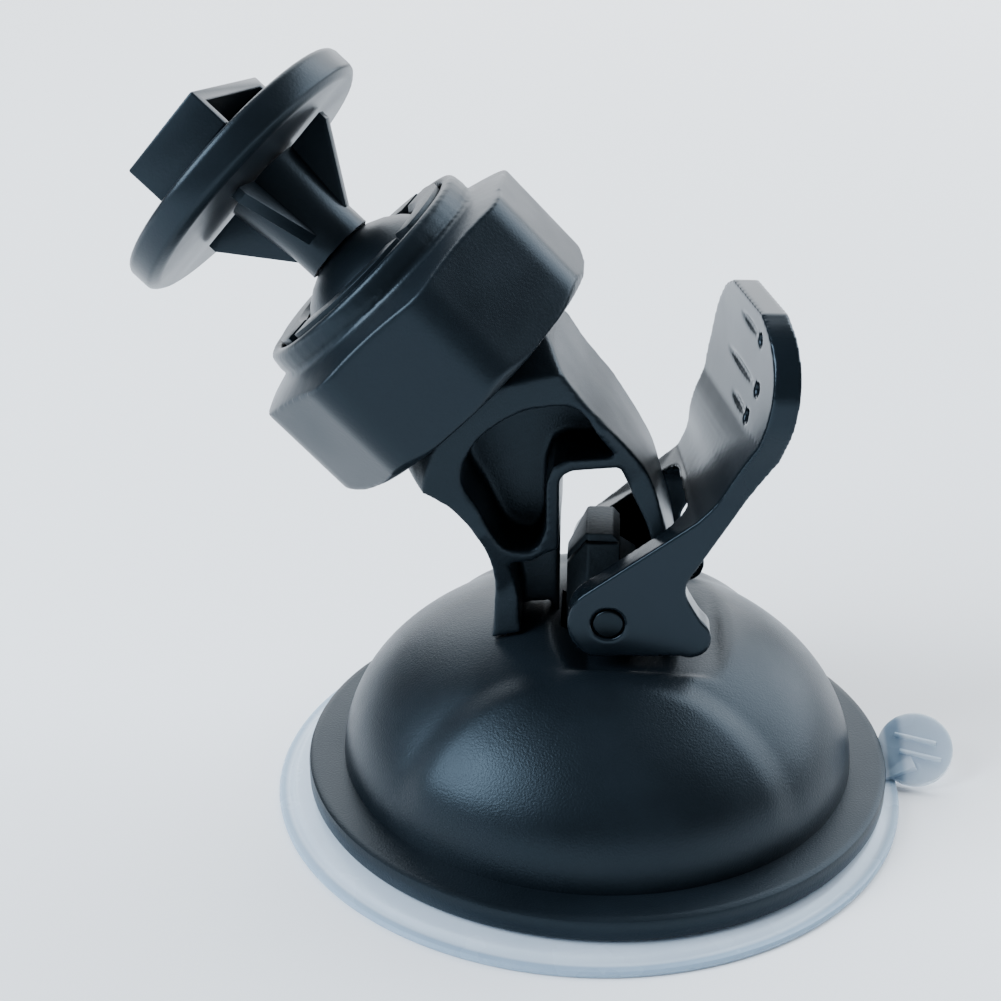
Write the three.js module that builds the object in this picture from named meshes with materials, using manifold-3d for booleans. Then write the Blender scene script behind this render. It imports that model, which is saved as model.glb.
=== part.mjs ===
// A windscreen suction mount for a dash camera: suction pad, domed housing, bracket arm,
// lock lever, clamp nut and ball-jointed camera plate. Millimetres, +Z up, X to the right.
// The origin is on the dome's axis at the underside of the suction pad.
import * as THREE from 'three';
import { mergeVertices } from 'three/addons/utils/BufferGeometryUtils.js';
import Module from 'manifold-3d';

const wasm = await Module();
wasm.setup();

// ---- sizes that hold for the whole mount ----
const clearance = 0.3;          // gap between pieces that meet
const overcut = 1;              // how far a cutting tool runs past the face it opens
const degrees = Math.PI / 180;

// ---- bracket arm ----
const armHalfDepth = 6.1;
const webHalfThickness = 1;
const armWall = 1.25;
const windowLeft = -3.9;
const windowTop = 33;           // above the flange top
const windowCorner = 1.4;

// ---- hinge pin and lever ----
const pinX = 0.86;
const pinHeight = 18.3;         // above the flange top
const pinRadius = 1.25;
const cheekInner = armHalfDepth + clearance; // half the fork's inside width
const cheekThickness = 2.8;
const cheekOuter = cheekInner + cheekThickness;
const cheekRadius = 3.8;        // round end of a cheek, about the pin
const heelX = 7.6;              // centre of the heel that presses on the saddle
const heelZ = -1.3;
const heelRadius = 2;
const leverRise = 37 * degrees; // slope of a cheek's upper edge
const paddleFlare = 1.8;
const paddleHalfWidth = cheekOuter + paddleFlare;
const paddleThickness = 2.4;
const paddleRadius = 36;        // the paddle's inner face is an arc of this radius
const paddleCentreX = -22.3;
const paddleCentreZ = 27;
const paddleTop = 29.3;         // above the pin
const paddleTwist = 10.5 * degrees;
const twistFrom = 6;            // heights above the pin between which the twist grows
const twistTo = 17;
const forkTop = 10.2;           // top of the fork's opening, above the pin
const forkCorner = 2.4;

// ---- domed housing ----
const domeRadius = 25.4;
const flangeWidth = 3.6;
const flangeRadius = domeRadius + flangeWidth;
const flangeHeight = 2.3;
const domeHeight = 16.3;
const domeWall = 1.7;
const crownThickness = 5.1;     // solid crown that the saddle is cut into
const hollowHeight = domeHeight - crownThickness;
const saddleDrop = 1;           // from the lever's foot down to the saddle floor
const saddleHalfWidth = cheekOuter + 1;
const saddleFrom = -5;
const saddleTo = 12.5;
const guideRadius = 6.4;
const guideBottom = hollowHeight - 2.6;

// ---- suction pad and its pull tab ----
const padOverhang = 2.2;        // the pad runs this far past the flange
const padRadius = flangeRadius + padOverhang;
const padThickness = 1.2;
const padShiftX = -0.8;         // the soft skirt sits a little off the dome's axis
const padShiftY = -0.8;
const tabRadius = 3.7;
const tabThickness = 1;
const tabNeckWidth = 5;
const tabReach = padRadius + 2.2; // pad centre to tab centre
const tabBearing = 4 * degrees;
const tabTwist = 38 * degrees;
const tabPitch = 16 * degrees;
const tabRise = 2.7;            // tab centre above the pad's underside
const flangeTop = padThickness + clearance + flangeHeight;

// ---- lifting stem ----
const stemLeft = -3.2;
const stemRight = 3.4;
const stemHalfDepth = 3.2;
const stemChamfer = 2;
const headRight = 1.8;
const headTop = 23.6;           // above the flange top
const headShoulder = 20.6;
const headSlope = 3.1;          // height of the head's sloping left corner
const headInset = 1.8;
const capThickness = 0.8;
const capBevel = 0.7;
const coreRadius = 11;
const coreThickness = 1.5;
const hubRadius = 4.6;
const hubTop = 3;               // above the flange top

// ---- ball, socket and clamp nut: distances run along the nut's axis from the ball's centre ----
const ballX = -17.9;
const ballHeight = 44.8;        // above the flange top
const nutSlope = 46 * degrees;  // of the nut's axis, above level
const ballRadius = 9.2;
const socketWall = 1;
const socketRadius = ballRadius + clearance + socketWall;
const socketLipRadius = socketRadius - 0.6;
const socketBack = 4.5 - ballRadius;
const socketFront = ballRadius - 2.3;
const socketSlot = 1.4;
const mouthRadius = ballRadius - 2.1;
const neckRadius = ballRadius - 0.2; // the arm's neck under the socket
const nutSides = 8;
const nutWall = 5.1;            // from the socket to a corner
const nutCornerRadius = socketRadius + nutWall;
const nutRounding = 1.8;
const nutBack = -7.6;
const nutFront = socketFront - clearance;
const nutShoulder = nutFront - 2.4;
const nutRingRadius = socketRadius + 1.3;
const nutChamferSlope = 16 * degrees;
const nutTurn = 23 * degrees;   // how the nut happens to be turned

// ---- camera plate, on the ball: distances run along its stem from the ball's centre ----
const plateTilt = 10.6 * degrees;
const plateBearing = 118.4 * degrees;
const plateFace = ballRadius + 12.3;
const plateThickness = 3.2;
const plateRadius = 13.6;
const plateShift = -0.8;        // the disc sits a little off the stem's axis
const shankRadius = 3.5;
const shankFlare = 4.2;
const gussetThickness = 1.1;
const gussetStart = ballRadius + 2.2;
const gussetReach = 8.2;        // from the stem's axis, at the plate
const hookLength = 9.1;
const hookNear = -10.2;
const hookFar = 6.9;
const hookHeight = 4.3;
const hookWall = 1.2;

// ---- helpers ----

/** A closed manifold solid from any three.js geometry. */
function solidFrom(geometry) {
  const bare = geometry.clone();
  bare.deleteAttribute('normal');
  bare.deleteAttribute('uv');
  const merged = mergeVertices(bare, 1e-4);
  const index = merged.index.array;
  const triangles = [];
  for (let i = 0; i < index.length; i += 3) {
    const [a, b, c] = [index[i], index[i + 1], index[i + 2]];
    if (a !== b && b !== c && c !== a) triangles.push(a, b, c);
  }
  const vertProperties = new Float32Array(merged.attributes.position.array);
  const triVerts = new Uint32Array(triangles);
  return new wasm.Manifold(new wasm.Mesh({ numProp: 3, vertProperties, triVerts }));
}

/** A three.js geometry from a closed manifold solid. */
function toGeometry(solid) {
  const mesh = solid.getMesh();
  const geometry = new THREE.BufferGeometry();
  geometry.setAttribute('position', new THREE.BufferAttribute(mesh.vertProperties, 3));
  geometry.setIndex(new THREE.BufferAttribute(mesh.triVerts, 1));
  geometry.computeVertexNormals();
  return geometry;
}

/** A named three.js mesh from a solid or a geometry. */
function makeMesh(name, shape, look) {
  const geometry = shape.isBufferGeometry ? shape : toGeometry(shape);
  const made = new THREE.Mesh(geometry, new THREE.MeshStandardMaterial(look));
  made.name = name;
  return made;
}

/** Extrudes a shape drawn in (x, z) along Y. */
function alongY(shape, from, to, curveSegments = 10) {
  const geometry = new THREE.ExtrudeGeometry(shape, { depth: to - from, bevelEnabled: false, curveSegments });
  geometry.rotateX(Math.PI / 2);
  geometry.translate(0, to, 0);
  return solidFrom(geometry);
}

/** Extrudes a shape drawn in (y, z) along X. */
function alongX(shape, from, to, curveSegments = 10) {
  const geometry = new THREE.ExtrudeGeometry(shape, { depth: to - from, bevelEnabled: false, curveSegments });
  geometry.rotateX(Math.PI / 2);
  geometry.rotateZ(Math.PI / 2);
  geometry.translate(from, 0, 0);
  return solidFrom(geometry);
}

/** Extrudes a shape drawn in (x, y) along Z. */
function alongZ(shape, from, to, curveSegments = 10) {
  const geometry = new THREE.ExtrudeGeometry(shape, { depth: to - from, bevelEnabled: false, curveSegments });
  geometry.translate(0, 0, from);
  return solidFrom(geometry);
}

/** Turns a profile of [radius, height] points about Z. */
function turned(profile, segments = 64) {
  const points = profile.map(([radius, height]) => new THREE.Vector2(radius, height));
  const geometry = new THREE.LatheGeometry(points, segments);
  geometry.rotateX(Math.PI / 2);
  return solidFrom(geometry);
}

/** A box between two corners. */
function boxBetween([x0, y0, z0], [x1, y1, z1]) {
  const geometry = new THREE.BoxGeometry(x1 - x0, y1 - y0, z1 - z0);
  geometry.translate((x0 + x1) / 2, (y0 + y1) / 2, (z0 + z1) / 2);
  return solidFrom(geometry);
}

/** A round rod along Y. */
function rodAlongY(radius, from, to, x, z) {
  const geometry = new THREE.CylinderGeometry(radius, radius, to - from, 24);
  geometry.translate(x, (from + to) / 2, z);
  return solidFrom(geometry);
}

/** A shape through corner points, straight from one to the next. */
function polygon(corners) {
  return new THREE.Shape(corners.map(([x, y]) => new THREE.Vector2(x, y)));
}

/** A shape whose outline is a smooth curve through the points, closed by straight lines. */
function smoothRuns(runs) {
  const shape = new THREE.Shape();
  runs.forEach((run, i) => {
    const [first, ...rest] = run.map(([x, y]) => new THREE.Vector2(x, y));
    if (i === 0) shape.moveTo(first.x, first.y);
    else shape.lineTo(first.x, first.y);
    if (rest.length) shape.splineThru(rest);
  });
  return shape;
}

/** Points of a quarter ellipse from its rim to its top, as [radius, height]. */
function dome(radius, base, height, steps = 12) {
  const points = [];
  for (let i = 0; i <= steps; i += 1) {
    const angle = (i / steps) * 90 * degrees;
    points.push([i === steps ? 0 : radius * Math.cos(angle), base + height * Math.sin(angle)]);
  }
  return points;
}

// ---- suction pad ----

function makeSuctionPad() {
  const skirt = turned([[0, 0], [padRadius, 0], [padRadius, padThickness], [0, padThickness]], 72);
  const outline = new THREE.Shape();
  const neckHalf = tabNeckWidth / 2;
  const neckAngle = Math.asin(neckHalf / tabRadius);
  const neckLength = tabReach - padRadius + clearance;
  outline.moveTo(-neckLength, -neckHalf);
  outline.lineTo(-tabRadius * Math.cos(neckAngle), -neckHalf);
  outline.absarc(0, 0, tabRadius, Math.PI + neckAngle, 3 * Math.PI - neckAngle, false);
  outline.lineTo(-neckLength, neckHalf);
  const tab = alongZ(outline, -tabThickness / 2, tabThickness / 2, 16);
  const place = new THREE.Matrix4().makeRotationFromEuler(new THREE.Euler(tabTwist, -tabPitch, 0, 'YXZ'));
  place.setPosition(tabReach, 0, tabRise);
  const turn = new THREE.Matrix4().makeRotationZ(tabBearing).multiply(place);
  const root = boxBetween(
    [padRadius - 2, -neckHalf - 1, 0],
    [padRadius + 1.2, neckHalf - 1, padThickness],
  ).transform(new THREE.Matrix4().makeRotationZ(tabBearing).elements);
  return skirt.add(root).add(tab.transform(turn.elements)).translate([padShiftX, padShiftY, 0]);
}

// ---- lifting stem: a core moulded into the pad, a stem through the dome, a cap and the pin ----

/** The stem's outline seen from above, grown by a margin. */
function stemPlan(margin) {
  const right = stemRight + margin;
  const left = stemLeft - margin;
  const depth = stemHalfDepth + margin;
  return polygon([
    [left, -depth + stemChamfer], [left + stemChamfer, -depth], [right, -depth],
    [right, depth], [left + stemChamfer, depth], [left, depth - stemChamfer],
  ]);
}

/** The stem's head has a sloping left corner. */
function makeLiftStem() {
  const front = polygon([
    [stemLeft, hubTop + clearance], [stemRight, hubTop + clearance], [stemRight, headShoulder],
    [headRight, headShoulder + 1], [headRight, headTop],
    [stemLeft + headInset, headTop], [stemLeft, headTop - headSlope],
  ]);
  const block = alongY(front, -stemHalfDepth, stemHalfDepth);
  const plan = alongZ(stemPlan(0), 0, headTop + overcut);
  const reach = stemHalfDepth + overcut;
  const hole = rodAlongY(pinRadius + clearance, -reach, reach, pinX, pinHeight);
  return block.intersect(plan).subtract(hole);
}

function makeStemCap() {
  const low = headTop - headSlope + clearance;
  const front = polygon([
    [stemLeft, low], [stemLeft + headInset, headTop + clearance], [headRight, headTop + clearance],
    [headRight - capBevel, headTop + clearance + capThickness],
    [stemLeft + headInset, headTop + clearance + capThickness], [stemLeft, low + capThickness],
  ]);
  const block = alongY(front, -stemHalfDepth, stemHalfDepth);
  return block.intersect(alongZ(stemPlan(0), 0, headTop + capThickness + overcut));
}

function makePadCore() {
  const floor = padThickness + clearance;
  return turned([
    [0, floor], [coreRadius, floor], [coreRadius, floor + coreThickness],
    [hubRadius, floor + coreThickness + 0.8],
    [hubRadius, flangeTop + hubTop], [0, flangeTop + hubTop],
  ], 32);
}

function makeHingePin() {
  return new THREE.CylinderGeometry(pinRadius, pinRadius, 2 * cheekOuter, 24);
}

// ---- domed housing ----

/** The dome's outer shape, solid, grown by a margin, with the saddle where the lever's feet press. */
function domeShape(margin) {
  const round = turned([
    [0, -flangeHeight], [domeRadius + margin, -flangeHeight],
    ...dome(domeRadius + margin, 0, domeHeight + margin),
  ], 64);
  const floor = pinHeight - cheekRadius - saddleDrop + margin;
  const saddle = boxBetween(
    [saddleFrom + margin, -saddleHalfWidth + margin, floor],
    [saddleTo - margin, saddleHalfWidth - margin, domeHeight + overcut + margin],
  );
  return round.subtract(saddle);
}

function makeDomeHousing() {
  const flange = turned([
    [0, -flangeHeight], [flangeRadius - 0.4, -flangeHeight], [flangeRadius, -flangeHeight + 0.4],
    [flangeRadius, -0.4], [flangeRadius - 0.4, 0], [0, 0],
  ], 64);
  const hollow = turned([
    [0, -flangeHeight - overcut], [domeRadius - domeWall, -flangeHeight - overcut],
    ...dome(domeRadius - domeWall, 0, hollowHeight, 6),
  ], 40);
  const guide = turned([
    [0, guideBottom], [guideRadius, guideBottom], [guideRadius, hollowHeight], [0, hollowHeight],
  ], 24);
  const passage = alongZ(stemPlan(clearance + 0.1), -flangeHeight, domeHeight + overcut);
  return domeShape(0).add(flange).subtract(hollow).add(guide).subtract(passage);
}

// ---- bracket arm: a curved I-section with a window that the stem rises in ----

/** A point given along the nut's axis from the ball's centre, and square to it to the right. */
function fromBall(along, across) {
  return [
    ballX - along * Math.cos(nutSlope) + across * Math.sin(nutSlope),
    ballHeight + along * Math.sin(nutSlope) + across * Math.cos(nutSlope),
  ];
}

/** The right leg's inner face, from the neck down. */
const rightLegLine = [
  [-4.4, 39.5], [-2.2, 39], [-0.4, 36.4], [1.5, 33], [2.9, 29.7],
  [4.3, 26.6], [5.3, 22.5], [5.8, 18], [5.9, 12],
];

function makeBracketArm() {
  const neckTop = socketBack - clearance;
  const neckStart = nutBack - 2;
  const outline = smoothRuns([
    [fromBall(neckTop, -neckRadius)],
    [fromBall(neckStart, -neckRadius), [-13.7, 29.2], [-11.1, 25.7], [-10, 22.2], [-9.9, 19],
      [-10, 16.6], [-10.2, 14.6]],
    [[-10.2, 11], [7.8, 11]],
    [[7.8, 13], [7.7, 18], [7, 23], [5.8, 27.4], [4.3, 31.8], [1.3, 36.2], [-2.1, 40.2],
      fromBall(neckStart, neckRadius)],
    [fromBall(neckTop, neckRadius)],
  ]);
  const slab = alongY(outline, -neckRadius, neckRadius, 6);

  // the arm's depth shrinks from the round neck down to the legs
  const depths = [[0, 1], [-9.2, 1], [-13, 0.86], [-18, 0.72], [-24, 0]];
  const near = depths.map(([along, share]) => [along, armHalfDepth + (neckRadius - armHalfDepth) * share]);
  const far = near.map(([along, depth]) => [along, -depth]).reverse();
  const reach = -70;
  const depthOutline = polygon([...near, [reach, armHalfDepth], [reach, -armHalfDepth], ...far]);
  const depthSlab = new THREE.ExtrudeGeometry(depthOutline, { depth: 120, bevelEnabled: false });
  depthSlab.translate(0, 0, -60);
  const toNut = new THREE.Matrix4().makeRotationFromEuler(new THREE.Euler(0, Math.PI + nutSlope, 0));
  toNut.setPosition(ballX, 0, ballHeight);
  depthSlab.applyMatrix4(toNut);

  // the shoulder is round at the nut and opens into the arm's square section
  const shoulder = turned([
    [0, -90], [90, -90], [neckRadius + 0.9 * 8, nutBack - 8], [neckRadius, nutBack], [neckRadius, neckTop],
    [0, neckTop],
  ], 36).transform(nutFrame().elements);
  const dish = new THREE.SphereGeometry(ballRadius + clearance, 28, 18);
  dish.translate(ballX, 0, ballHeight);

  // the pocket above the window, the recess below it and the window itself
  const pocket = smoothRuns([
    [[-7.4, 24.3], [-9.2, 25.2], [-11.2, 29.2], [-12.7, 32.2], [-11.6, 35.6], [-9.2, 37.9], [-6.8, 39.1]],
    [...rightLegLine.slice(0, 3), [1.1, windowTop + armWall + 0.1]],
    [[0.9, windowTop + armWall], [windowLeft + 0.6, windowTop + armWall]],
    [[windowLeft - 0.6, windowTop + 0.6], [windowLeft - armWall, windowTop - windowCorner]],
    [[windowLeft - armWall, 26.6], [windowLeft - armWall - 0.6, 24.9], [-6.4, 24.3]],
  ]);
  const recess = smoothRuns([
    [[-8.6, 23], [-8, 21], [-7.5, 18], [-7.3, 11]],
    [[windowLeft + overcut, 11]],
    [[windowLeft + overcut, 24.6], [windowLeft - armWall, 23.8], [-6.4, 23]],
  ]);
  const opening = new THREE.Shape();
  const [legTop, ...legRest] = rightLegLine.slice(3).map(([x, z]) => new THREE.Vector2(x, z));
  const cornerX = windowLeft + windowCorner;
  opening.moveTo(windowLeft, 11);
  opening.lineTo(windowLeft, windowTop - windowCorner);
  opening.absarc(cornerX, windowTop - windowCorner, windowCorner, Math.PI, Math.PI / 2, true);
  opening.lineTo(legTop.x, legTop.y);
  opening.splineThru(legRest);
  let arm = slab.intersect(solidFrom(depthSlab)).intersect(shoulder);
  for (const shape of [pocket, recess]) {
    arm = arm.subtract(alongY(shape, webHalfThickness, neckRadius + overcut, 6));
    arm = arm.subtract(alongY(shape, -neckRadius - overcut, -webHalfThickness, 6));
  }
  arm = arm.subtract(alongY(opening, -neckRadius - overcut, neckRadius + overcut, 6));
  return arm.subtract(solidFrom(dish)).subtract(domeShape(clearance));
}

// ---- ball socket, nut and ball ----

/** The nut's frame: its Z runs out along the nut's axis, its origin is the ball's centre. */
function nutFrame() {
  const frame = new THREE.Matrix4().makeRotationY(nutSlope - Math.PI / 2);
  return frame.setPosition(ballX, 0, ballHeight);
}

function makeBallSocket() {
  const body = turned([
    [0, socketBack], [neckRadius + 0.6, socketBack], [socketRadius, socketBack + 0.9],
    [socketRadius, nutShoulder], [socketLipRadius, nutShoulder + 0.6],
    [socketLipRadius, socketFront], [0, socketFront],
  ], 40);
  const cup = new THREE.SphereGeometry(ballRadius + clearance, 28, 18);
  cup.rotateX(Math.PI / 2);
  const mouth = turned([
    [0, 0], [mouthRadius - 0.4, 0], [mouthRadius - 0.2, socketFront - 0.6],
    [mouthRadius + 0.4, socketFront + 0.02], [mouthRadius + 0.4, socketFront + overcut],
    [0, socketFront + overcut],
  ], 32);
  const backing = turned([
    [0, socketBack - overcut], [ballRadius - 1.2, socketBack - overcut], [ballRadius - 1.2, 0], [0, 0],
  ], 32);
  let socket = body.subtract(solidFrom(cup)).subtract(mouth).subtract(backing);
  const half = socketSlot / 2;
  const reach = socketRadius + overcut;
  const slot = boxBetween([-reach, -half, -2], [reach, half, socketFront + overcut]);
  for (const angle of [45, 135]) {
    socket = socket.subtract(slot.rotate([0, 0, angle]));
  }
  return socket;
}

/** A polygon with round corners. */
function roundedPolygon(sides, cornerRadius, rounding) {
  const corners = [];
  for (let i = 0; i < sides; i += 1) {
    const angle = (i / sides) * 2 * Math.PI;
    corners.push(new THREE.Vector2(cornerRadius * Math.cos(angle), cornerRadius * Math.sin(angle)));
  }
  const shape = new THREE.Shape();
  corners.forEach((corner, i) => {
    const before = corners[(i + sides - 1) % sides];
    const after = corners[(i + 1) % sides];
    const start = corner.clone().add(before.clone().sub(corner).setLength(rounding));
    const end = corner.clone().add(after.clone().sub(corner).setLength(rounding));
    if (i === 0) shape.moveTo(start.x, start.y);
    else shape.lineTo(start.x, start.y);
    shape.quadraticCurveTo(corner.x, corner.y, end.x, end.y);
  });
  shape.closePath();
  return shape;
}

function makeClampNut() {
  const boreRadius = socketRadius + clearance + 0.1;
  const lipRadius = socketLipRadius + clearance + 0.1;
  const chamfer = (nutCornerRadius - nutRingRadius) * Math.tan(nutChamferSlope);
  const prism = alongZ(roundedPolygon(nutSides, nutCornerRadius + 0.3, nutRounding), nutBack, nutFront, 8);
  const envelope = turned([
    [0, nutBack], [nutCornerRadius - 0.9, nutBack], [nutCornerRadius, nutBack + 0.9],
    [nutCornerRadius, nutShoulder - chamfer], [nutRingRadius + 0.2, nutShoulder],
    [nutRingRadius - 0.2, nutShoulder + 0.4], [nutRingRadius, nutShoulder + 0.8],
    [nutRingRadius - 0.2, nutFront - 0.3], [nutRingRadius - 0.5, nutFront], [0, nutFront],
  ], 56);
  const bore = turned([
    [0, nutBack - overcut], [boreRadius, nutBack - overcut], [boreRadius, nutShoulder + clearance],
    [lipRadius, nutShoulder + 0.6 + clearance], [lipRadius, nutFront + overcut], [0, nutFront + overcut],
  ], 40);
  return prism.intersect(envelope).subtract(bore);
}

function makeBall() {
  const geometry = new THREE.SphereGeometry(ballRadius, 28, 18);
  geometry.rotateX(Math.PI / 2);
  return geometry;
}

// ---- camera plate ----

function makePlateStem() {
  const foot = ballRadius + clearance;
  const end = plateFace - plateThickness - clearance;
  let stem = turned([[0, 0], [shankRadius, 0], [shankRadius, gussetStart], [shankFlare, end], [0, end]], 28);
  const gusset = polygon([[0, gussetStart - 0.6], [shankRadius, gussetStart - 0.6], [gussetReach, end - 0.8],
    [gussetReach, end], [0, end]]);
  const half = gussetThickness / 2;
  for (const angle of [0, 90, 180, 270]) {
    stem = stem.add(alongY(gusset, -half, half).rotate([0, 0, angle]));
  }
  return stem.subtract(solidFrom(new THREE.SphereGeometry(foot, 28, 18)));
}

function makePlateDisc() {
  const back = plateFace - plateThickness;
  return turned([
    [0, back], [plateRadius - 0.8, back], [plateRadius, back + 0.6], [plateRadius, plateFace - 0.4],
    [plateRadius - 0.4, plateFace], [0, plateFace],
  ], 56).translate([plateShift, 0, 0]);
}

function makeHookBlock() {
  const half = hookLength / 2;
  const base = plateFace + clearance;
  const top = plateFace + hookHeight;
  const outer = boxBetween([-half, hookNear, base], [half, hookFar, top]);
  const inner = boxBetween(
    [-half + hookWall, hookNear + hookWall, base - overcut],
    [half + overcut, hookFar - hookWall, top - hookWall],
  );
  return outer.subtract(inner);
}

// ---- lock lever, drawn about the pin ----

function makeReleaseLever() {
  const tangent = leverRise + 90 * degrees;
  const heelAngle = Math.atan2(heelZ, heelX);
  const heelReach = Math.hypot(heelX, heelZ);
  const underside = heelAngle - Math.acos((heelRadius - cheekRadius) / heelReach);
  const outerRadius = paddleRadius + paddleThickness;
  const onPaddle = (radius, height) => {
    const rise = height - paddleCentreZ;
    return [paddleCentreX + Math.sqrt(radius * radius - rise * rise), height];
  };
  const side = new THREE.Shape();
  side.absarc(0, 0, cheekRadius, underside + 2 * Math.PI, tangent, true);
  side.lineTo(7.9, 10.7);
  const neck = [[9.7, 12.7], [11, 15.1], onPaddle(paddleRadius, 18.5)];
  side.splineThru(neck.map(([x, z]) => new THREE.Vector2(x, z)));
  const inner = [22, 25.5, 28].map((z) => onPaddle(paddleRadius, z));
  side.splineThru(inner.map(([x, z]) => new THREE.Vector2(x, z)));
  side.lineTo(...onPaddle(paddleRadius, paddleTop));
  side.lineTo(...onPaddle(outerRadius, paddleTop));
  const outer = [27, 24.5, 22, 19.5, 17].map((z) => onPaddle(outerRadius, z));
  side.splineThru(outer.map(([x, z]) => new THREE.Vector2(x, z)));
  side.splineThru([[12.8, 13.8], [11.6, 11.9]].map(([x, z]) => new THREE.Vector2(x, z)));
  side.lineTo(7.9, 5.9);
  side.splineThru([[7.1, 4.4], [7.15, 3], [8.4, 0.8]].map(([x, z]) => new THREE.Vector2(x, z)));
  side.absarc(heelX, heelZ, heelRadius, 40 * degrees, underside, true);
  side.closePath();

  const front = new THREE.Shape();
  const bulge = [
    [cheekOuter, 13], [cheekOuter + 0.6, 16.5], [paddleHalfWidth, 20.8],
    [paddleHalfWidth - 0.5, paddleTop - 4.6],
    [paddleHalfWidth - 2.8, paddleTop - 1.8], [paddleHalfWidth - 6, paddleTop - 0.3],
  ];
  front.moveTo(-cheekOuter, -10);
  front.lineTo(cheekOuter, -10);
  front.lineTo(...bulge[0]);
  front.splineThru(bulge.slice(1).map(([y, z]) => new THREE.Vector2(y, z)));
  front.lineTo(-bulge[5][0], bulge[5][1]);
  front.splineThru(bulge.slice(0, 5).reverse().map(([y, z]) => new THREE.Vector2(-y, z)));
  front.closePath();

  const fork = new THREE.Shape();
  const cornerY = cheekInner - forkCorner;
  fork.moveTo(-cheekInner, -20);
  fork.lineTo(cheekInner, -20);
  fork.absarc(cornerY, forkTop - forkCorner, forkCorner, 0, Math.PI / 2, false);
  fork.absarc(-cornerY, forkTop - forkCorner, forkCorner, Math.PI / 2, Math.PI, false);
  fork.closePath();

  const body = alongY(side, -paddleHalfWidth, paddleHalfWidth, 5).intersect(alongX(front, -20, 40, 5));
  const hole = rodAlongY(pinRadius + clearance, -cheekOuter - overcut, cheekOuter + overcut, 0, 0);
  return twisted(body.subtract(alongX(fork, -20, 40, 8)).subtract(hole));
}

/** Leans the paddle's far edge back: the shift grows with height and across the width. */
function twisted(solid) {
  const geometry = toGeometry(solid);
  const points = geometry.attributes.position;
  for (let i = 0; i < points.count; i += 1) {
    const share = THREE.MathUtils.smoothstep(points.getZ(i), twistFrom, twistTo);
    const shift = Math.tan(paddleTwist) * (points.getY(i) + paddleHalfWidth) * share;
    points.setX(i, points.getX(i) - shift);
  }
  geometry.computeVertexNormals();
  return geometry;
}

// ---- the assembly ----

const blackPlastic = { color: 0x22282c, roughness: 0.5, metalness: 0 };
const glossPlastic = { color: 0x1d2327, roughness: 0.25, metalness: 0 };
const roughPlastic = { color: 0x3a3f42, roughness: 0.9, metalness: 0 };
const softPlastic = { color: 0xccd8e4, roughness: 0.3, metalness: 0 };

const mount = new THREE.Group();
mount.add(makeMesh('suction_pad', makeSuctionPad(), softPlastic));
mount.add(makeMesh('pad_core', makePadCore(), roughPlastic));

const upper = new THREE.Group();
upper.position.set(0, 0, flangeTop);
upper.add(makeMesh('dome_housing', makeDomeHousing(), blackPlastic));
upper.add(makeMesh('bracket_arm', makeBracketArm(), blackPlastic));
upper.add(makeMesh('lift_stem', makeLiftStem(), roughPlastic));
upper.add(makeMesh('stem_cap', makeStemCap(), roughPlastic));
mount.add(upper);

const hinge = new THREE.Group();
hinge.position.set(pinX, 0, pinHeight);
hinge.add(makeMesh('hinge_pin', makeHingePin(), roughPlastic));
hinge.add(makeMesh('release_lever', makeReleaseLever(), glossPlastic));
upper.add(hinge);

const ballJoint = new THREE.Group();
ballJoint.position.set(ballX, 0, ballHeight);
ballJoint.rotation.y = nutSlope - Math.PI / 2;
ballJoint.add(makeMesh('ball_socket', makeBallSocket(), blackPlastic));
ballJoint.add(makeMesh('ball', makeBall(), blackPlastic));
const nut = makeMesh('clamp_nut', makeClampNut(), blackPlastic);
nut.rotation.z = nutTurn;
ballJoint.add(nut);
upper.add(ballJoint);

const cameraPlate = new THREE.Group();
const tiltAxis = new THREE.Vector3(-Math.sin(plateBearing), Math.cos(plateBearing), 0);
cameraPlate.quaternion.setFromAxisAngle(tiltAxis, plateTilt);
cameraPlate.add(makeMesh('plate_stem', makePlateStem(), blackPlastic));
cameraPlate.add(makeMesh('plate_disc', makePlateDisc(), blackPlastic));
cameraPlate.add(makeMesh('hook_block', makeHookBlock(), blackPlastic));
ballJoint.add(cameraPlate);

export default mount;
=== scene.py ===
from math import hypot, pi, radians

import bpy
from mathutils import Matrix, Vector


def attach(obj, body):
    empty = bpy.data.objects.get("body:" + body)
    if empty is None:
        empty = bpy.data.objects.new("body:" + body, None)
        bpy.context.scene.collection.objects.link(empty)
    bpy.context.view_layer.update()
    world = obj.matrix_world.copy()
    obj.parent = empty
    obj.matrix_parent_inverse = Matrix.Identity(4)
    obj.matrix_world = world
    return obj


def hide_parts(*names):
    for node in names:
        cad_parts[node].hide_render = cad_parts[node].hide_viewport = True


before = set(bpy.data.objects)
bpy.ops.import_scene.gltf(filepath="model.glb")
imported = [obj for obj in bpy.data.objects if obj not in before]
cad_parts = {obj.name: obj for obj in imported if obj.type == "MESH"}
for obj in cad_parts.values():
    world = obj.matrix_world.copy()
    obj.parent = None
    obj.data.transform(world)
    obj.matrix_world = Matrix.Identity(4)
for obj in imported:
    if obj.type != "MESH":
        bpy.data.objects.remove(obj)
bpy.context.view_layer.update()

# ---- The view, the floor and the light ----
# The mount stands on a white table and is seen from a little above. Large soft boxes
# at both sides and behind light its edges and leave its front faces dark.
MM = 0.001


def rgb(code):
    """A hex sRGB colour as linear red, green, blue and alpha."""
    values = [int(code[i:i + 2], 16) / 255 for i in (0, 2, 4)]
    return (*[v / 12.92 if v <= 0.04045 else ((v + 0.055) / 1.055) ** 2.4 for v in values], 1)


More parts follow.
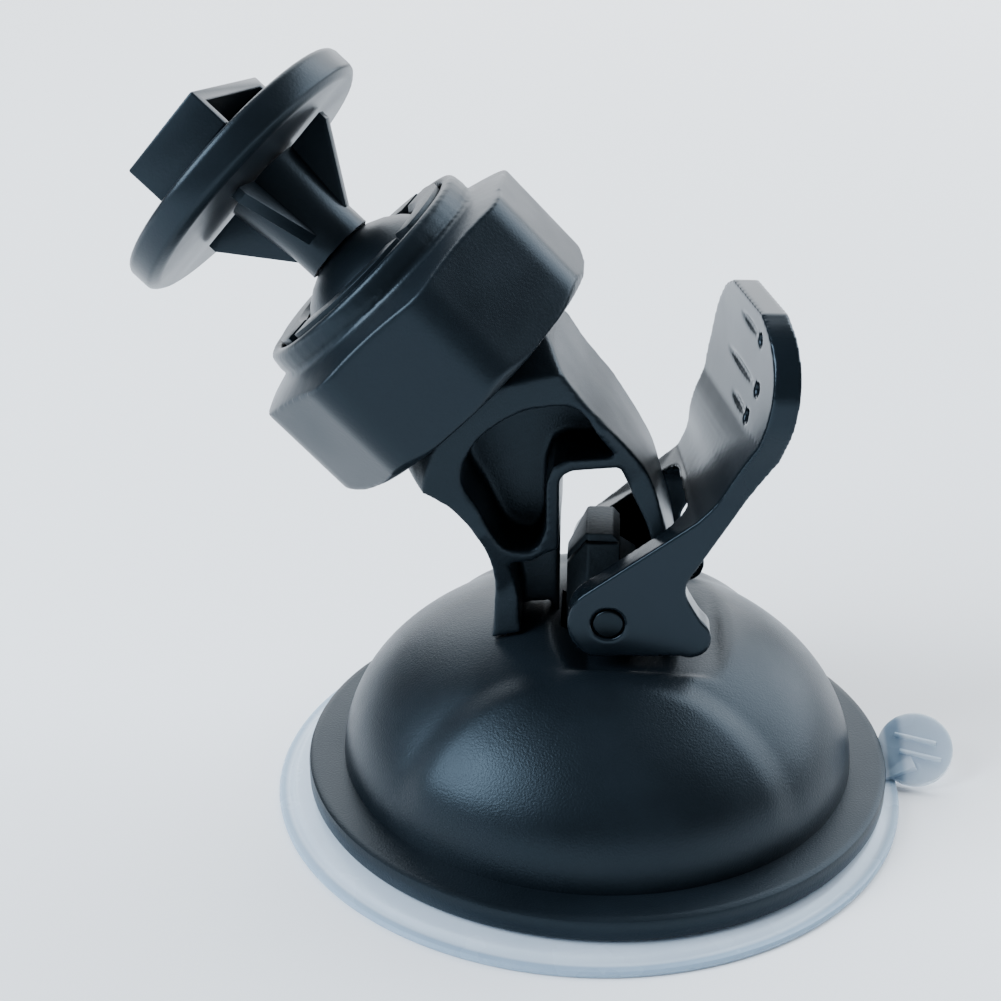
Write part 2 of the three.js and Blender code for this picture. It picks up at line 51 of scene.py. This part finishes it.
def add_node(tree, kind, settings=(), inputs=(), **links):
    """Adds a node, sets its options and sockets, and joins its inputs to other nodes' outputs."""
    made = tree.nodes.new("ShaderNode" + kind)
    for name, value in dict(settings).items():
        setattr(made, name, value)
    for name, value in dict(inputs).items():
        made.inputs[name].default_value = value
    for name, output in links.items():
        tree.links.new(output, made.inputs[name.replace("_", " ")])
    return made


view_from = Vector((0, -147.545, 97.904)) * MM
view_along = Vector((-0.05967, 0.90731, -0.41620)).normalized()
view_up = Vector((-0.02771, 0.41528, 0.90927))
view_right = view_along.cross(view_up).normalized()
view_up = view_right.cross(view_along)
camera = bpy.data.objects.new("camera", bpy.data.cameras.new("camera"))
camera.data.sensor_width = 36
camera.data.lens = 61.12
camera.data.clip_start = 0.01
camera.matrix_world = Matrix((
    (view_right.x, view_up.x, -view_along.x, view_from.x),
    (view_right.y, view_up.y, -view_along.y, view_from.y),
    (view_right.z, view_up.z, -view_along.z, view_from.z),
    (0, 0, 0, 1),
))
bpy.context.scene.collection.objects.link(camera)
bpy.context.scene.camera = camera

bpy.ops.object.select_all(action="DESELECT")
floor_size = 3
bpy.ops.mesh.primitive_grid_add(x_subdivisions=4, y_subdivisions=4, size=floor_size)
floor = bpy.context.object
floor.name = "floor"
# Matt white paper: its loose fibres scatter the light, so it shows soft shadows and no glare.
paper = bpy.data.materials.new("white_paper")
paper.use_nodes = True
paper_shader = paper.node_tree.nodes["Principled BSDF"]
paper_shader.inputs["Base Color"].default_value = rgb("fbfbfb")
paper_shader.inputs["Roughness"].default_value = 0.9
floor.data.materials.append(paper)

world = bpy.data.worlds.new("white_room")
world.use_nodes = True
world.node_tree.nodes["Background"].inputs["Color"].default_value = rgb("eef4fa")
world.node_tree.nodes["Background"].inputs["Strength"].default_value = 0.3
bpy.context.scene.world = world


def soft_box(name, place, aim, size, watts, colour):
    """A square area light that faces a point."""
    light = bpy.data.lights.new(name, "AREA")
    light.size = size
    light.energy = watts
    light.color = rgb(colour)[:3]
    holder = bpy.data.objects.new(name, light)
    holder.location = place
    holder.rotation_euler = (Vector(aim) - Vector(place)).to_track_quat("-Z", "Y").to_euler()
    bpy.context.scene.collection.objects.link(holder)


soft_box("left", (-0.62, -0.24, 0.50), (0, 0, 0.02), 0.5, 15, "e2f0ff")
soft_box("right", (0.66, 0.40, 0.50), (0, 0, 0.03), 0.8, 14, "eaf4ff")
soft_box("back", (-0.05, 0.75, 0.50), (0, 0, 0.03), 1.0, 11, "f4f9ff")


# ---- Suction pad ----
# The soft disc that grips the glass: clear PVC with a milky tint, moulded in one
# piece with its pull tab, and glossy from the polished mould.
def finish_shell(material, base, rough, grain_mm, grain_height_mm, spots, shine=0.27):
    """A moulded plastic: fine mould grain, faint cloudy variation of colour and gloss."""
    material.use_nodes = True
    tree = material.node_tree
    shader = tree.nodes["Principled BSDF"]
    shader.inputs["IOR"].default_value = 1.5
    shader.inputs["Specular IOR Level"].default_value = shine
    # Painted reflection colour: a pale blue tint on every reflection, for a cool light.
    shader.inputs["Specular Tint"].default_value = rgb("c8e2f4")
    place = add_node(tree, "TexCoord").outputs["Object"]
    grain_scale = 1 / (grain_mm * MM)
    grain = add_node(tree, "TexNoise", {}, {"Scale": grain_scale, "Detail": 3}, Vector=place)
    cloud_mm = 9
    cloud_scale = 1 / (cloud_mm * MM)
    cloud = add_node(tree, "TexNoise", {}, {"Scale": cloud_scale, "Detail": 4}, Vector=place)
    tint = add_node(tree, "ValToRGB", {}, {}, Fac=cloud.outputs["Fac"])
    tint.color_ramp.elements[0].position = 0.3
    tint.color_ramp.elements[0].color = rgb(base)
    tint.color_ramp.elements[1].position = 0.75
    tint.color_ramp.elements[1].color = rgb(spots)
    gloss = add_node(
        tree, "MapRange", {},
        {"From Min": 0.3, "From Max": 0.7, "To Min": rough - 0.05, "To Max": rough + 0.06},
        Value=cloud.outputs["Fac"],
    )
    bump = add_node(
        tree, "Bump", {}, {"Strength": 1, "Distance": grain_height_mm * MM},
        Height=grain.outputs["Fac"],
    )
    tree.links.new(tint.outputs["Color"], shader.inputs["Base Color"])
    tree.links.new(gloss.outputs["Result"], shader.inputs["Roughness"])
    tree.links.new(bump.outputs["Normal"], shader.inputs["Normal"])
    return shader


# Clear PVC with a milky tint: light goes in and scatters, so the disc glows a pale
# blue grey; painted shade makes its thick rolled rim read darker than the rest.
milky_pvc = bpy.data.materials.new("milky_clear_pvc")
pad_shader = finish_shell(milky_pvc, "b9c6d2", 0.25, 1.5, 0.01, "c6d1dc", 0.5)
pad_shader.inputs["Subsurface Weight"].default_value = 0.5
pad_shader.inputs["Subsurface Radius"].default_value = (1, 1, 1)
pad_shader.inputs["Subsurface Scale"].default_value = 1.5 * MM
pad_shader.inputs["IOR"].default_value = 1.52
pad_offset = 0.8  # the pad sits this far off the dome's middle, in x and in y
# The rim's darker tint, set in and faded out below, is painted shade.
rim_from, rim_to = 30.2, 30.7  # radii between which the rim's darker tint sets in
tab_from, tab_to = 31.6, 32.4  # radii between which it fades out again towards the tab
pad_tree = milky_pvc.node_tree
pad_place = add_node(pad_tree, "TexCoord")
flat_place = add_node(
    pad_tree, "VectorMath", {"operation": "MULTIPLY_ADD"},
    {1: (1, 1, 0), 2: (pad_offset * MM, pad_offset * MM, 0)}, Vector=pad_place.outputs["Object"],
)
from_middle = add_node(
    pad_tree, "VectorMath", {"operation": "LENGTH"}, {}, Vector=flat_place.outputs["Vector"],
)
rim = add_node(
    pad_tree, "MapRange", {"interpolation_type": "SMOOTHSTEP"},
    {"From Min": rim_from * MM, "From Max": rim_to * MM}, Value=from_middle.outputs["Value"],
)
tab_side = add_node(
    pad_tree, "MapRange", {"interpolation_type": "SMOOTHSTEP"},
    {"From Min": tab_from * MM, "From Max": tab_to * MM, "To Min": 1, "To Max": 0},
    Value=from_middle.outputs["Value"],
)
rim_shade_mask = add_node(pad_tree, "Math", {"operation": "MULTIPLY"}, {})
pad_tree.links.new(rim.outputs["Result"], rim_shade_mask.inputs[0])
pad_tree.links.new(tab_side.outputs["Result"], rim_shade_mask.inputs[1])
# Painted shade: towards the rim the colour is mixed to a darker blue grey.
rim_painted_shade = add_node(pad_tree, "Mix", {"data_type": "RGBA"}, {7: rgb("8fa3b5")})
pad_tree.links.new(rim_shade_mask.outputs["Value"], rim_painted_shade.inputs["Factor"])
pad_tree.links.new(pad_shader.inputs["Base Color"].links[0].from_socket, rim_painted_shade.inputs[6])
pad_tree.links.new(rim_painted_shade.outputs[2], pad_shader.inputs["Base Color"])


def pick(piece):
    """Leaves one piece selected and active."""
    bpy.ops.object.select_all(action="DESELECT")
    piece.select_set(True)
    bpy.context.view_layer.objects.active = piece


def start_edit(piece):
    """Leaves one piece selected, in edit mode, with all of its mesh selected."""
    pick(piece)
    bpy.ops.object.mode_set(mode="EDIT")
    bpy.ops.mesh.select_all(action="SELECT")


def turned(name, profile, segments):
    """A circle pulled round a closed profile of (radius, height) in millimetres."""
    bpy.ops.object.select_all(action="DESELECT")
    bpy.ops.mesh.primitive_circle_add(vertices=segments, radius=profile[0][0] * MM)
    piece = bpy.context.object
    piece.name = name
    start_edit(piece)
    bpy.ops.transform.translate(value=(0, 0, profile[0][1] * MM))
    for (radius, height), (next_radius, next_height) in zip(profile, profile[1:] + profile[:1]):
        rise = (next_height - height) * MM
        bpy.ops.mesh.extrude_region_move(TRANSFORM_OT_translate={"value": (0, 0, rise)})
        share = next_radius / radius
        bpy.ops.transform.resize(value=(share, share, 1), center_override=(0, 0, 0))
    bpy.ops.mesh.select_all(action="SELECT")
    bpy.ops.mesh.remove_doubles(threshold=0.001 * MM)
    bpy.ops.mesh.normals_make_consistent(inside=False)
    bpy.ops.object.mode_set(mode="OBJECT")
    return piece


def applied(piece, kind, **settings):
    """Adds a modifier with its settings and applies it."""
    modifier = piece.modifiers.new("step", kind)
    for name, value in settings.items():
        setattr(modifier, name, value)
    pick(piece)
    bpy.ops.object.modifier_apply(modifier="step")


def combine(piece, other, operation):
    """Joins another solid to a piece, or cuts it away, and removes the other."""
    applied(piece, "BOOLEAN", operation=operation, object=other, solver="EXACT")
    bpy.data.objects.remove(other)


def dress(piece, nodes, body, material, smooth_angle):
    """Gives a finished piece its material and its body, and hides the solids that it stands for.
    """
    pick(piece)
    bpy.ops.object.shade_smooth_by_angle(angle=radians(smooth_angle))
    piece.data.materials.clear()
    piece.data.materials.append(material)
    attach(piece, body)
    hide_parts(*nodes)


def place_mesh(piece, matrix):
    """Moves a piece's mesh, so that its object stays at the origin."""
    piece.data.transform(matrix)
    piece.data.update()


pad_shift = Vector((-pad_offset, -pad_offset, 0)) * MM
pad = turned("pad_skirt", [
    (0.05, 0.0), (30.9, 0.0), (31.15, 0.15), (31.2, 0.45), (31.05, 0.7), (30.7, 0.8),
    (30.3, 0.72), (30.0, 0.8), (29.7, 1.1), (29.3, 1.2), (0.05, 1.2),
], 192)
place_mesh(pad, Matrix.Translation(pad_shift))

tab_radius = 3.75
tab_thickness = 0.95
tab_middle = Vector((33.3, 0, 2.95)) * MM  # from the pad's middle, as the neck's is
neck_length, neck_width, neck_thickness = 4.2, 4.6, 0.9
neck_middle = Vector((30.9, 0, 1.75)) * MM
rib_radius = 0.28
rib_length = 4.2
rib_offset = 0.9
bpy.ops.object.select_all(action="DESELECT")
bpy.ops.mesh.primitive_cylinder_add(vertices=64, radius=tab_radius * MM, depth=tab_thickness * MM)
tab = bpy.context.object
bpy.ops.mesh.primitive_cube_add(size=1)
neck = bpy.context.object
place_mesh(neck, Matrix.Diagonal((neck_length * MM, neck_width * MM, neck_thickness * MM, 1)))
for across in (-rib_offset, rib_offset):
    bpy.ops.mesh.primitive_cylinder_add(
        vertices=16, radius=rib_radius * MM, depth=rib_length * MM, end_fill_type="NGON",
    )
    rib = bpy.context.object
    lie = Matrix.Rotation(pi / 2, 4, "Y")
    turn = Matrix.Rotation(radians(-28), 4, "Z")
    on_tab = Matrix.Translation(Vector((0.3, across, tab_thickness / 2)) * MM)
    place_mesh(rib, on_tab @ turn @ lie)
    combine(tab, rib, "UNION")
tab_side_turn = Matrix.Translation(pad_shift) @ Matrix.Rotation(radians(4), 4, "Z")
tab_twist = Matrix.Rotation(radians(-16), 4, "Y") @ Matrix.Rotation(radians(38), 4, "X")
place_mesh(tab, tab_side_turn @ Matrix.Translation(tab_middle) @ tab_twist)
neck_tilt = Matrix.Rotation(radians(-26), 4, "Y") @ Matrix.Rotation(radians(16), 4, "X")
place_mesh(neck, tab_side_turn @ Matrix.Translation(neck_middle) @ neck_tilt)
combine(tab, neck, "UNION")
combine(pad, tab, "UNION")
applied(pad, "BEVEL", width=0.12 * MM, segments=2, limit_method="ANGLE", angle_limit=radians(50))
dress(pad, ["suction_pad"], "base", milky_pvc, 40)

# ---- Pad core ----
# A stiff nylon disc with a hub, moulded into the top of the pad: the stem pulls on it
# to draw the pad's middle up. It is hidden under the dome.
# Raw moulded nylon: dull, a little greyer than the ABS round it, with a coarse grain.
raw_nylon = bpy.data.materials.new("unpolished_nylon")
finish_shell(raw_nylon, "1c2226", 0.6, 0.5, 0.06, "2c3338")


def copied(node, name):
    """A loose copy of a solid, its triangles merged, ready to be shaped."""
    piece = bpy.data.objects.new(name, bpy.data.objects[node].data.copy())
    bpy.context.scene.collection.objects.link(piece)
    start_edit(piece)
    bpy.ops.mesh.remove_doubles(threshold=0.002 * MM)
    bpy.ops.object.mode_set(mode="OBJECT")
    return piece


def softened(node, name, edge_mm, body, material):
    """A copy of a solid with its flat faces joined and its edges rounded, in its place."""
    piece = copied(node, name)
    start_edit(piece)
    bpy.ops.mesh.dissolve_limited(angle_limit=radians(0.8))
    bpy.ops.object.mode_set(mode="OBJECT")
    applied(
        piece, "BEVEL", width=edge_mm * MM, segments=3, limit_method="ANGLE",
        angle_limit=radians(28),
    )
    dress(piece, [node], body, material, 40)


softened("pad_core", "core_disc", 0.2, "stem", raw_nylon)

# ---- Dome housing ----
# The bell of textured ABS that presses the pad's rim to the glass, moulded in one shot
# with its flat flange.
# ABS from a finely textured mould: near black, with a wide soft sheen over the bell.
textured_abs = bpy.data.materials.new("textured_abs")
finish_shell(textured_abs, "0b1014", 0.36, 0.2, 0.03, "10161b")
flange_top = 3.8
dome_radius = 25.4
dome_height = 16.3
dome_wall = 1.5
lobe_stand = 0.6  # how far an oval lobe stands proud
lobe_x, lobe_y = 0.5, 24  # middle of a lobe, seen from above
lobe_half_width, lobe_half_depth = 21, 13.3
saddle_floor = 13.5  # heights from here on are above the flange's top
saddle_half_width = 9.5
saddle_left, saddle_right = -1, 11.3
saddle_blend = 0.35  # rounds the saddle's edges off


def step(value, start, end):
    """Nought before the start, one after the end, and a smooth curve between."""
    share = min(max((value - start) / (end - start), 0), 1)
    return share * share * (3 - 2 * share)


def lobe_height(x, y, z):
    """How far the oval lobes on the dome's front and back stand proud of it."""
    share = hypot((x - lobe_x) / lobe_half_width, (abs(y) - lobe_y) / lobe_half_depth)
    return lobe_stand * (1 - step(share, 0.82, 1.06)) * step(z, 0.5, 7)


def saddle_limit(x, y):
    """The height that the dome is cut down to where the lever's feet press on it."""
    side_rise = 0.7 * (abs(y) - saddle_half_width)
    left_rise = 0.6 * (saddle_left - x)
    right_rise = 0.35 * (x - saddle_right)
    return saddle_floor + max(side_rise, 0, left_rise, right_rise)


bpy.ops.object.select_all(action="DESELECT")
bpy.ops.mesh.primitive_uv_sphere_add(segments=256, ring_count=150, radius=1)
dome = bpy.context.object
dome.name = "dome_shell"
start_edit(dome)
bpy.ops.mesh.bisect(plane_co=(0, 0, -0.02), plane_no=(0, 0, 1), clear_inner=True)
bpy.ops.object.mode_set(mode="OBJECT")
for vertex in dome.data.vertices:
    x, y, z = vertex.co.x * dome_radius, vertex.co.y * dome_radius, vertex.co.z * dome_height
    out = Vector((x, y, z)).normalized() * lobe_height(x, y, z)
    x, y, z = x + out.x, y + out.y, z + out.z
    over = z - saddle_limit(x, y)
    z = z - (over + hypot(over, saddle_blend)) / 2
    vertex.co = Vector((x, y, z + flange_top)) * MM
applied(dome, "SOLIDIFY", thickness=dome_wall * MM, offset=-1, use_even_offset=False)
bpy.ops.mesh.primitive_cube_add(size=1)
passage = bpy.context.object
passage_middle = Matrix.Translation(Vector((0.1, 0, 16)) * MM)
place_mesh(passage, passage_middle @ Matrix.Diagonal((7.6 * MM, 7.4 * MM, 12 * MM, 1)))
combine(dome, passage, "DIFFERENCE")
flange = turned("flange", [
    (24.2, 1.5), (28.5, 1.5), (28.85, 1.6), (29.0, 1.9), (29.0, 3.35), (28.9, 3.62),
    (28.6, 3.78), (28.2, flange_top), (24.2, flange_top),
], 256)
combine(dome, flange, "UNION")
dress(dome, ["dome_housing"], "base", textured_abs, 35)

# ---- Bracket arm ----
# The arched arm of the same textured ABS, an I-section with two pockets and a window,
# standing on the dome.


def melted(piece, voxel_mm, rounds):
    """Rounds every edge of a piece, as a polished mould does."""
    applied(piece, "REMESH", mode="VOXEL", voxel_size=voxel_mm * MM, adaptivity=0)
    applied(piece, "SMOOTH", factor=0.5, iterations=rounds)


arm = copied("bracket_arm", "arm_casting")
melted(arm, voxel_mm=0.225, rounds=12)
dress(arm, ["bracket_arm"], "base", textured_abs, 60)

# ---- Ball socket, ball and clamp nut ----
# The split cup at the arm's end holds the ball, and the eight-sided ABS nut
# squeezes it shut on a thread.
# ABS from a smoother mould than the dome's: a satin face with tighter highlights.
satin_abs = bpy.data.materials.new("satin_abs")
finish_shell(satin_abs, "0d1216", 0.34, 0.25, 0.015, "12181d")
softened("ball_socket", "socket_cup", 0.25, "base", textured_abs)
softened("ball", "joint_ball", 0.1, "ball_body", satin_abs)
nut = copied("clamp_nut", "nut_shell")
melted(nut, voxel_mm=0.22, rounds=7)
dress(nut, ["clamp_nut"], "nut", satin_abs, 60)

# ---- Lifting stem ----
# The square stem, its cap and the hinge pin rise through the dome with the lever.
# The stem is raw moulded nylon, the pin blackened steel.
softened("lift_stem", "stem_post", 0.2, "stem", raw_nylon)
softened("stem_cap", "stem_top", 0.15, "stem", raw_nylon)
# Blackened steel: a dark metal with a small hard glint on its rounded end.
black_steel = bpy.data.materials.new("blackened_steel")
steel_shader = finish_shell(black_steel, "1c2226", 0.35, 0.3, 0.004, "23292d")
steel_shader.inputs["Metallic"].default_value = 1
pin_middle = Vector((0.86, 0, 22.1))
pin_radius = 1.42  # nearly fills its hole
pin_length = 18.4
bpy.ops.object.select_all(action="DESELECT")
bpy.ops.mesh.primitive_cylinder_add(vertices=64, radius=pin_radius * MM, depth=pin_length * MM)
pin = bpy.context.object
pin.name = "cross_pin"
place_mesh(pin, Matrix.Translation(pin_middle * MM) @ Matrix.Rotation(pi / 2, 4, "X"))
applied(
    pin, "BEVEL", width=0.2 * MM, segments=3, limit_method="ANGLE", angle_limit=radians(40),
)
dress(pin, ["hinge_pin"], "stem", black_steel, 40)

# ---- Lock lever ----
# The forked lever of glossy ABS: two cheeks on the pin, and a curved paddle for the thumb.
# ABS from a polished mould: the shiniest of the plastics, with sharp pale reflections.
gloss_abs = bpy.data.materials.new("glossy_abs")
finish_shell(gloss_abs, "0c1115", 0.2, 1.2, 0.004, "10161b")
lever = copied("release_lever", "thumb_lever")
paddle_x, paddle_z, paddle_radius = -22.3, 27, 36  # the paddle's arc, from the pin
paddle_half_width = 11
paddle_lean = 0.185  # how far the paddle's far edge leans back, per millimetre of width
lean_from, lean_to = 6, 17  # heights above the pin between which the lean sets in
groove_radius = 0.5
groove_lift = Vector((-0.22, 0, 0.05))
pit_radius = 0.62
grip_grooves = [(26.6, -5, 2), (22.3, -6, 5.5), (19.4, -5, 1)]  # height, near and far end
for height, near, far in grip_grooves:
    face_x = paddle_x + (paddle_radius ** 2 - (height - paddle_z) ** 2) ** 0.5
    lean = paddle_lean * step(height, lean_from, lean_to)
    start = pin_middle + Vector((face_x - lean * (near + paddle_half_width), near, height))
    end = pin_middle + Vector((face_x - lean * (far + paddle_half_width), far, height + 0.4))
    along = end - start
    bpy.ops.mesh.primitive_uv_sphere_add(segments=24, ring_count=16, radius=groove_radius * MM)
    groove = bpy.context.object
    stretch = Matrix.Diagonal((1, 1, along.length / (2 * groove_radius), 1))
    groove_place = Matrix.Translation(((start + end) / 2 + groove_lift) * MM)
    groove_turn = along.to_track_quat("Z", "Y").to_matrix().to_4x4()
    place_mesh(groove, groove_place @ groove_turn @ stretch)
    combine(lever, groove, "DIFFERENCE")
    bpy.ops.mesh.primitive_cylinder_add(vertices=24, radius=pit_radius * MM, depth=2.4 * MM)
    pit = bpy.context.object
    place_mesh(pit, Matrix.Translation(start * MM) @ Matrix.Rotation(pi / 2, 4, "Y"))
    combine(lever, pit, "DIFFERENCE")
melted(lever, voxel_mm=0.16, rounds=9)
dress(lever, ["release_lever"], "lever", gloss_abs, 60)

# ---- Camera plate ----
# Stem, four gussets, round plate and hollow hook block, one ABS moulding
# that grows from the ball.
softened("plate_stem", "plate_shank", 0.2, "plate", satin_abs)
softened("plate_disc", "round_plate", 0.3, "plate", satin_abs)
softened("hook_block", "hook_box", 0.2, "plate", satin_abs)
